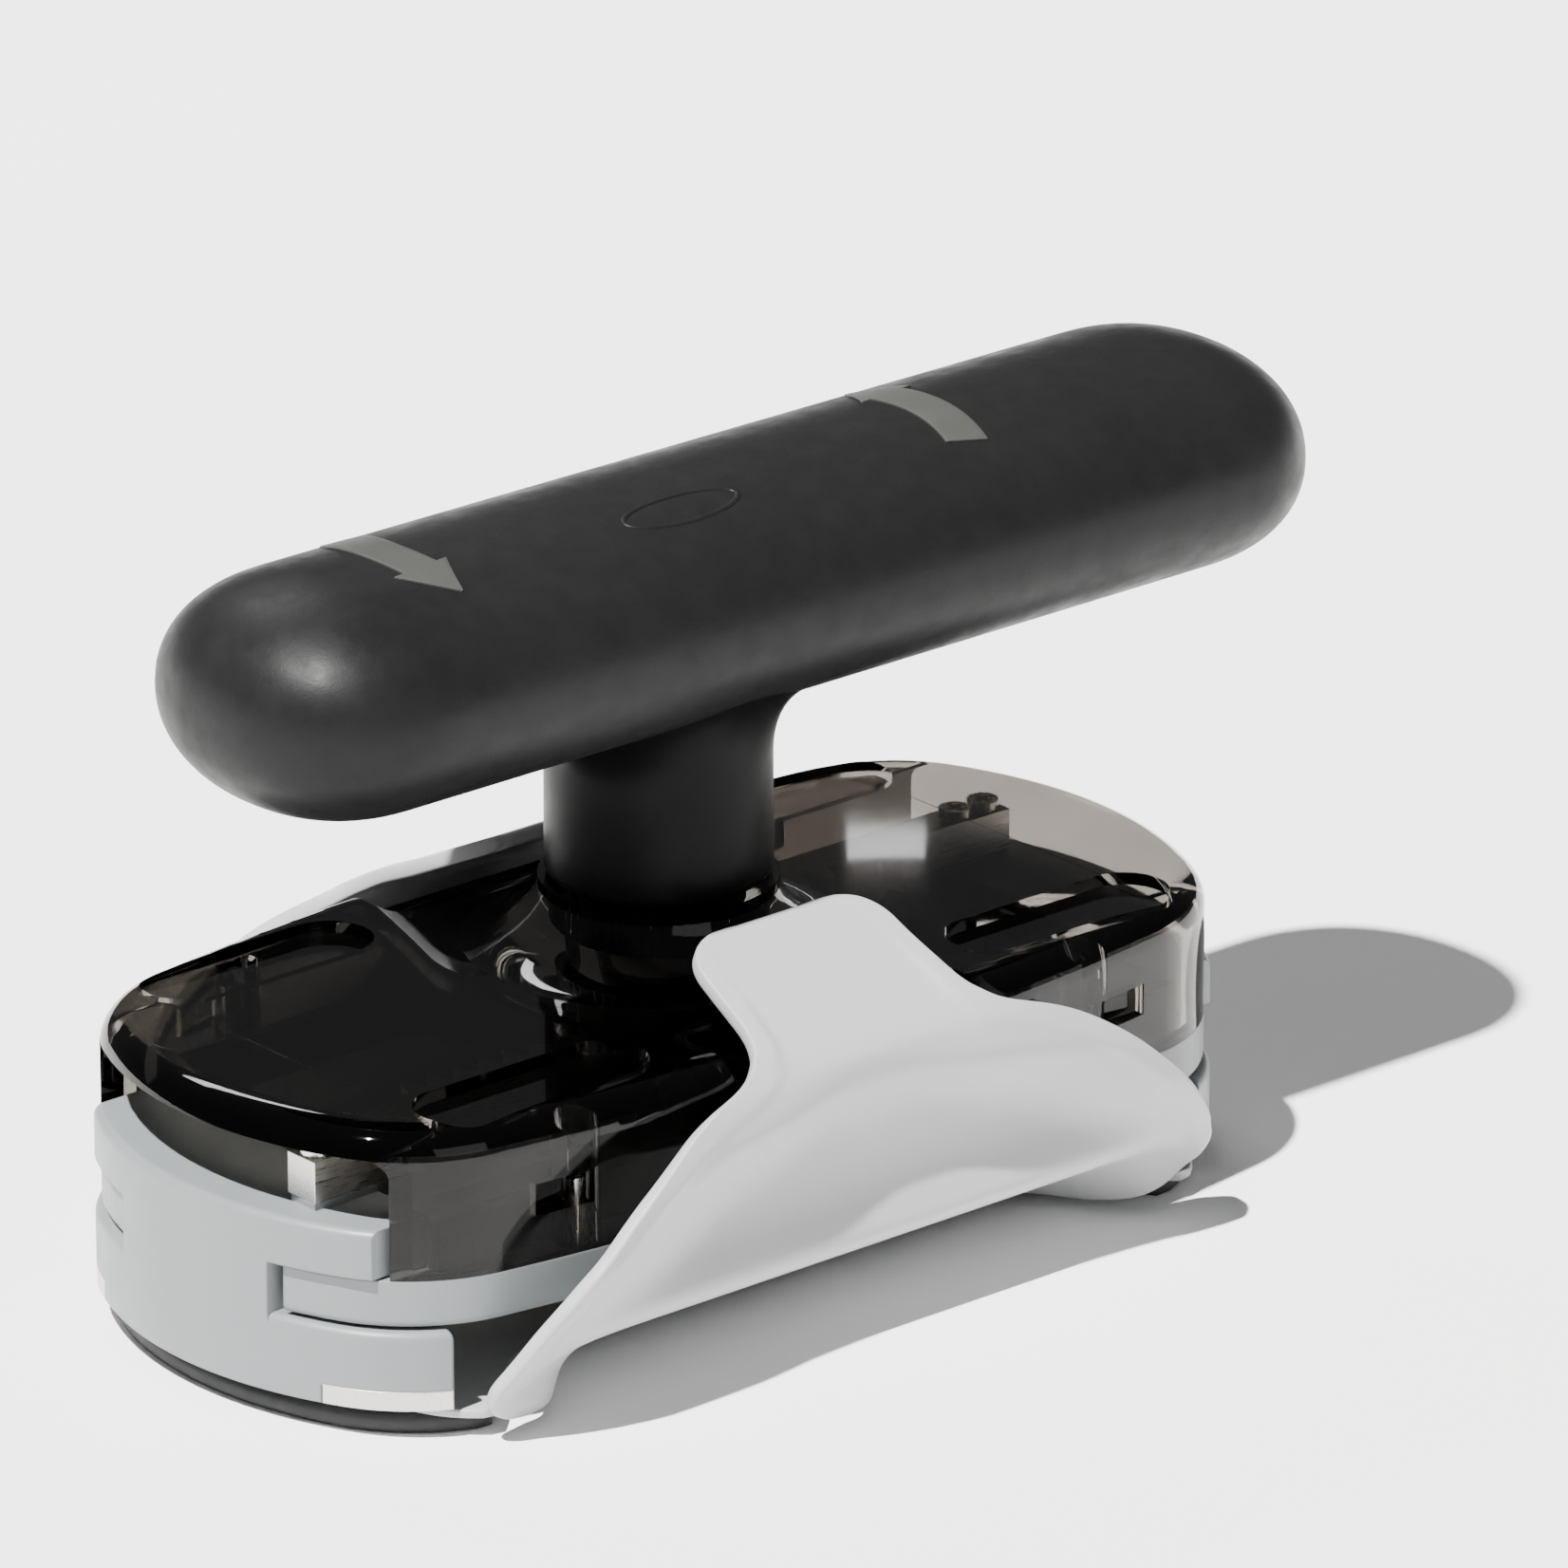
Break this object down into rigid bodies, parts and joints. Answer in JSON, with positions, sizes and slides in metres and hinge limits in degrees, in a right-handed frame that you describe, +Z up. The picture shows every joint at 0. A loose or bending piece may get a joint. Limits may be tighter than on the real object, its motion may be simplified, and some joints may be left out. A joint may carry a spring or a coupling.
{
  "type": "twisting jar opener with base pad",
  "caption": "T-handled twisting jar opener with toothed sliding jaws under a smoked cover, clipped by folding wings onto its soft base pad.",
  "frame": {"origin": "point on the table under the stem axis, in the base pad's flat underside", "axes": "+X along the housing, towards the handle's long end; +Y to the back; +Z up, along the stem"},
  "size_m": [0.1696, 0.0862, 0.097],
  "materials": {
    "soft_grip": "matt soft touch",
    "arrow_print": "matt",
    "black_plastic": "fine satin",
    "smoked_cover": "clear smoked gloss",
    "pale_plastic": "satin",
    "white_acetal": "satin",
    "stainless": "brushed",
    "dark_rubber": "matt",
    "pale_rubber": "matt soft"
  },
  "bodies": {
    "pad": {"base_pad": "dark_rubber", "pad_sheet": "pale_rubber"},
    "front_wing": {"front_wing": "pale_rubber"},
    "back_wing": {"back_wing": "pale_rubber"},
    "opener": {"base_plate": "pale_plastic", "housing_screws": "stainless", "inner_frame": "black_plastic", "top_cover": "smoked_cover", "collar_bush": "white_acetal"},
    "turning_handle": {"handle_grip": "soft_grip", "handle_core": "black_plastic", "turn_arrows": "arrow_print", "handle_screw": "stainless", "stem": "soft_grip", "drive_shaft": "stainless", "shaft_spacer": "black_plastic", "thrust_washer": "white_acetal", "pinion_gear": "white_acetal", "foot_washer": "stainless", "foot_screw": "stainless"},
    "left_jaw": {"jaw_left": "pale_plastic", "tooth_plate_left": "stainless", "tooth_plate_screws_left": "stainless", "rack_left": "stainless", "rack_screws_left": "stainless"},
    "right_jaw": {"jaw_right": "pale_plastic", "tooth_plate_right": "stainless", "tooth_plate_screws_right": "stainless", "rack_right": "stainless", "rack_screws_right": "stainless"}
  },
  "joints": [
    {"name": "opener_lift", "type": "slide", "parent": "pad", "child": "opener", "axis": [0, 0, 1], "range_m": [0, 0.023]},
    {"name": "handle_turn", "type": "hinge", "parent": "opener", "child": "turning_handle", "pos_m": [0, 0, 0.05], "axis": [0, 0, 1], "range_deg": [0, 229]},
    {"name": "left_jaw_slide", "type": "slide", "parent": "opener", "child": "left_jaw", "axis": [1, 0, 0], "range_m": [0, 0.04]},
    {"name": "right_jaw_slide", "type": "slide", "parent": "opener", "child": "right_jaw", "axis": [-1, 0, 0], "range_m": [0, 0.04]},
    {"name": "front_wing_fold", "type": "hinge", "parent": "pad", "child": "front_wing", "pos_m": [0, -0.03865, 0.0031], "axis": [1, 0, 0], "range_deg": [0, 80]},
    {"name": "back_wing_fold", "type": "hinge", "parent": "pad", "child": "back_wing", "pos_m": [0, 0.03865, 0.0031], "axis": [-1, 0, 0], "range_deg": [0, 80]}
  ],
  "couplings": [
    {"joint": "left_jaw_slide", "follows": "handle_turn", "m_per_rad": 0.01},
    {"joint": "right_jaw_slide", "follows": "handle_turn", "m_per_rad": 0.01},
    {"joint": "front_wing_fold", "follows": "opener_lift", "rad_per_m": 60},
    {"joint": "back_wing_fold", "follows": "opener_lift", "rad_per_m": 60}
  ]
}
